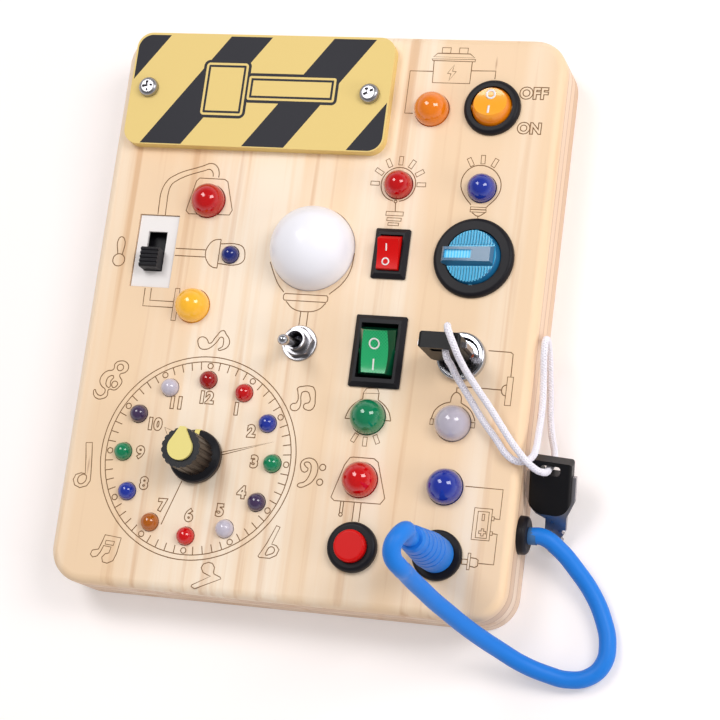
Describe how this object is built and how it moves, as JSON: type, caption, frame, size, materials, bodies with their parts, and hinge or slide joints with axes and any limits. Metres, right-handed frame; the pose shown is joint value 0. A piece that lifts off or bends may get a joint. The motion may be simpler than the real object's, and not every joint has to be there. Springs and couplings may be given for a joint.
{
  "type": "busy board",
  "caption": "Layered wooden busy board with rocker, slide, toggle, key and push switches, a clock knob with a ring of lamps, coloured lamps, a white dome and a plug on a cable.",
  "frame": {"origin": "middle of the board's back face, on the surface that the board lies on", "axes": "+X to the board's right, +Y to its top edge, +Z out of its face"},
  "size_m": [0.1655, 0.1844, 0.0661],
  "materials": {
    "pine_face": "sanded pine with an oil finish",
    "pine_layers": "sanded pine layers, glued",
    "sign_wood": "laser-cut light plywood with a dark edge",
    "steel": "zinc-plated",
    "chrome": "polished",
    "black_plastic": "moulded, semi-gloss",
    "amber_plastic": "translucent",
    "red_plastic": "moulded, gloss",
    "green_plastic": "moulded, textured",
    "blue_translucent": "translucent",
    "white_plastic": "moulded, gloss",
    "dark_plastic": "moulded, matt",
    "yellow_plastic": "moulded, gloss",
    "blue_rubber": "moulded PVC",
    "black_rubber": "moulded",
    "red_lens": "tinted moulded lens",
    "blue_lens": "tinted moulded lens",
    "green_lens": "tinted moulded lens",
    "clear_lens": "frosted moulded lens",
    "amber_lens": "tinted moulded lens",
    "yellow_lens": "tinted moulded lens",
    "purple_lens": "tinted moulded lens",
    "circuit_green": "solder-masked laminate",
    "brass": "bare",
    "cell_wrap": "printed wrap, plain",
    "white_cord": "braided"
  },
  "bodies": {
    "board": {"front_panel": "pine_face", "upper_frame": "pine_layers", "lower_frame": "pine_layers", "back_panel": "pine_layers", "back_screws": "steel", "sign_plate": "sign_wood", "sign_screws": "steel", "amber_switch_housing": "black_plastic", "red_switch_housing": "black_plastic", "green_switch_housing": "black_plastic", "round_switch_housing": "black_plastic", "slide_switch_body": "dark_plastic", "slide_plate": "white_plastic", "toggle_body": "steel", "toggle_nut": "chrome", "lock_body": "chrome", "button_body": "black_plastic", "button_spring": "steel", "rotary_switch": "steel", "panel_nuts": "steel", "socket": "black_plastic", "grommet": "black_rubber", "red_lamps": "red_lens", "blue_lamps": "blue_lens", "green_lamps": "green_lens", "clear_lamps": "clear_lens", "amber_lamps": "amber_lens", "yellow_lamp": "yellow_lens", "purple_lamps": "purple_lens", "white_dome": "white_plastic", "dome_lamp": "white_plastic", "circuit_boards": "circuit_green", "board_spacers": "white_plastic", "switch_terminals": "brass", "battery_box": "dark_plastic", "battery_contacts": "steel", "battery_cells": "cell_wrap", "battery_door": "dark_plastic", "door_screw": "steel", "string": "white_cord", "loose_key_blank": "steel", "loose_key_head": "black_plastic"},
    "amber_rocker": {"amber_rocker": "amber_plastic"},
    "red_rocker": {"red_rocker": "red_plastic"},
    "green_rocker": {"green_rocker": "green_plastic"},
    "round_rocker": {"round_rocker": "blue_translucent"},
    "slider": {"slider": "dark_plastic"},
    "toggle_lever": {"toggle_lever": "chrome"},
    "lock_core": {"lock_core": "steel", "key_blank": "steel", "key_head": "black_plastic", "string_at_key": "white_cord"},
    "button_cap": {"button_cap": "red_plastic"},
    "clock_knob": {"rotary_shaft": "steel", "knob": "black_plastic", "knob_pointer": "yellow_plastic"},
    "plug": {"plug_body": "blue_rubber", "plug_pin": "brass", "cable": "blue_rubber"}
  },
  "joints": [
    {"name": "amber_rocker_tilt", "type": "hinge", "parent": "board", "child": "amber_rocker", "pos_m": [0.0479, 0.0635, 0.0203], "axis": [1, 0, 0], "range_deg": [0, 18]},
    {"name": "red_rocker_tilt", "type": "hinge", "parent": "board", "child": "red_rocker", "pos_m": [0.0232, 0.018, 0.0203], "axis": [-1, 0, 0], "range_deg": [0, 28]},
    {"name": "green_rocker_tilt", "type": "hinge", "parent": "board", "child": "green_rocker", "pos_m": [0.0232, -0.0112, 0.0203], "axis": [-1, 0, 0], "range_deg": [0, 28]},
    {"name": "round_rocker_tilt", "type": "hinge", "parent": "board", "child": "round_rocker", "pos_m": [0.0479, 0.018, 0.0203], "axis": [0, 1, 0], "range_deg": [0, 18]},
    {"name": "slider_travel", "type": "slide", "parent": "board", "child": "slider", "axis": [0, 1, 0], "range_m": [0, 0.0058]},
    {"name": "toggle_flip", "type": "hinge", "parent": "board", "child": "toggle_lever", "pos_m": [-0.0007, -0.0102, 0.0198], "axis": [-1, 0, 0], "range_deg": [0, 20]},
    {"name": "key_turn", "type": "hinge", "parent": "board", "child": "lock_core", "pos_m": [0.0479, -0.0112, 0.02], "axis": [0, 0, -1], "range_deg": [0, 90]},
    {"name": "button_press", "type": "slide", "parent": "board", "child": "button_cap", "axis": [0, 0, -1], "range_m": [0, 0.0026], "stiffness_N_per_m": 180, "springref_m": -0.001, "deforming": ["button_spring"]},
    {"name": "knob_turn", "type": "hinge", "parent": "board", "child": "clock_knob", "pos_m": [-0.027, -0.046, 0.02], "axis": [0, 0, -1], "range_deg": [0, 330]},
    {"name": "plug_pull", "type": "slide", "parent": "board", "child": "plug", "axis": [0, 0, 1], "range_m": [0, 0.01]}
  ]
}
